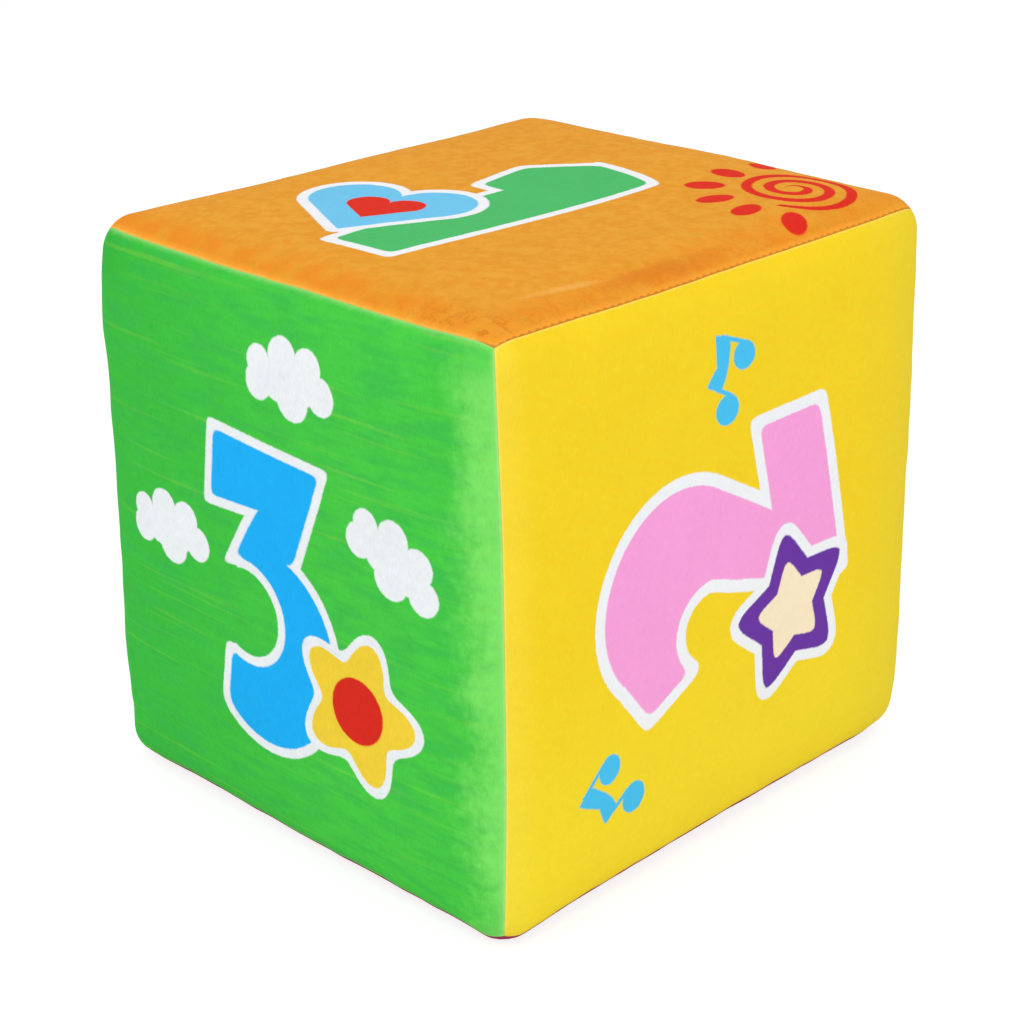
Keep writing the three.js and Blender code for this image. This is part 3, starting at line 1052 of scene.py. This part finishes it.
def plushFinish(name):
    finish = Finish(name + "_plush")
    pile = Pile(finish, name)
    tufts = {"Vector": pile.spot, "Scale": 1 / plush["shift"], "Detail": 1.0}
    shift = finish.vector("SUBTRACT", finish.node("ShaderNodeTexNoise", {}, tufts, 1), (0.5, 0.5, 0.5))
    ragged = finish.scaled(shift, printing["ragged"] * 2)
    place = finish.vector("MULTIPLY", finish.vector("ADD", pile.cloth, ragged), (1, 1, 0))
    printed = prints[name](finish, grounds.get(name, plainGround)(finish, pile), place)
    light, calm = 1, plush["calm"].get(name, 1)
    for part, amount in zip((pile.fibre, pile.clump, pile.nap), plush["strength"]):
        light = light + (part - 0.5) * (amount * 2 * calm)
    tips, clumps = plush["relief"]
    return finish.surface({
        "Base Color": finish.scaled(printed, light),
        "Roughness": plush["roughness"],
        "Specular IOR Level": plush["specular"],
        "Sheen Weight": plush["sheen"],
        "Sheen Roughness": plush["sheenRoughness"],
        "Sheen Tint": pile.brushed,
        "Normal": finish.node("ShaderNodeBump", {}, {
            "Strength": plush["bump"] * calm,
            "Distance": plush["bumpDepth"],
            "Height": pile.fibre * tips + pile.clump * clumps,
        }),
    })


def spongeFinish():
    finish = Finish("open_sponge")
    tones = shades(hollow="#d9cfae", wall="#f4efdc")
    pores = finish.node("ShaderNodeTexVoronoi", {}, {"Vector": finish.spot(), "Scale": 1 / sponge["pore"]})
    # painted shade in the pores
    tone = finish.mix(finish.between(pores, 0.1, 0.5), tones["hollow"], tones["wall"])
    strength, depth = sponge["poreBump"]
    bump = finish.node("ShaderNodeBump", {}, {"Strength": strength, "Distance": depth, "Height": pores})
    return finish.surface({"Base Color": tone, "Roughness": 1.0, "Normal": bump})


def threadFinish():
    finish = Finish("spun_thread")
    tones = shades(dark="#d8cfbd", pale="#f3eee3")
    tone = finish.mix(finish.noise(finish.spot(), stitch["lay"]), tones["dark"], tones["pale"])
    return finish.surface({"Base Color": tone, "Roughness": 0.7})


def dress(piece, material, node):
    piece.data.materials.append(material)
    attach(piece, "root")
    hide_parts(node)


dress(spongePiece, spongeFinish(), "foam_core")
for name, panel in panels.items():
    dress(panel["piece"], plushFinish(name), name + "_panel")
threadMaterial = threadFinish()
for (first, second), piece in stitchPieces.items():
    dress(piece, threadMaterial, f"seam_{first}_{second}")
print("finishes: on", len(panels) + 1 + len(stitchPieces), "pieces")


# Studio

studio = {
    "floorSize": 4.0,
    "floorGrey": 0.9,
    "floorWhite": (0.6, 1.3),  # share of the floor that is plain white to the camera, and its strength
    "ambient": 0.65,
    "lamps": (  # name, place, size and power
        ("key", (-0.15, -0.9, 0.75), 0.8, 2.6),
        ("fill", (0.95, -0.15, 0.6), 0.8, 2.6),
        ("above", (0.1, 0.1, 1.1), 0.9, 1.6),
    ),
}


def addFloor():
    size = studio["floorSize"] / 2
    corners = np.array([(-size, -size, 0), (size, -size, 0), (size, size, 0), (-size, size, 0)], float)
    floor = addMesh("floor", corners, [(0, 1, 2, 3)])
    finish = Finish("pale_floor")
    share, strength = studio["floorWhite"]
    grey = studio["floorGrey"]
    matte = finish.node("ShaderNodeBsdfDiffuse", {}, {"Color": (grey, grey, grey, 1)})
    white = finish.node("ShaderNodeEmission", {}, {"Color": (1, 1, 1, 1), "Strength": strength})
    mixed = finish.node("ShaderNodeMixShader", {}, {0: finish.seen() * share, 1: matte, 2: white})
    finish.node("ShaderNodeOutputMaterial", {}, {"Surface": mixed})
    floor.data.materials.append(finish.material)


class WorldFinish(Finish):
    def __init__(self, world):
        world.use_nodes = True
        self.tree = world.node_tree
        self.tree.nodes.clear()


def addWorld():
    world = bpy.data.worlds.new("studio")
    bpy.context.scene.world = world
    finish = WorldFinish(world)
    strength = studio["ambient"] + finish.seen() * (1 - studio["ambient"])
    white = finish.node("ShaderNodeBackground", {}, {"Color": (1, 1, 1, 1), "Strength": strength})
    finish.node("ShaderNodeOutputWorld", {}, {"Surface": white})


def addLamps():
    for name, place, size, power in studio["lamps"]:
        lamp = bpy.data.lights.new(name, "AREA")
        lamp.energy, lamp.size = power, size
        stand = bpy.data.objects.new(name, lamp)
        stand.location = place
        stand.rotation_euler = (Vector(blockMiddle) - Vector(place)).to_track_quat("-Z", "Y").to_euler()
        bpy.context.collection.objects.link(stand)


addFloor()
addWorld()
addLamps()
bpy.context.scene.view_settings.view_transform = "Standard"
print("studio: floor, world and", len(studio["lamps"]), "lamps")
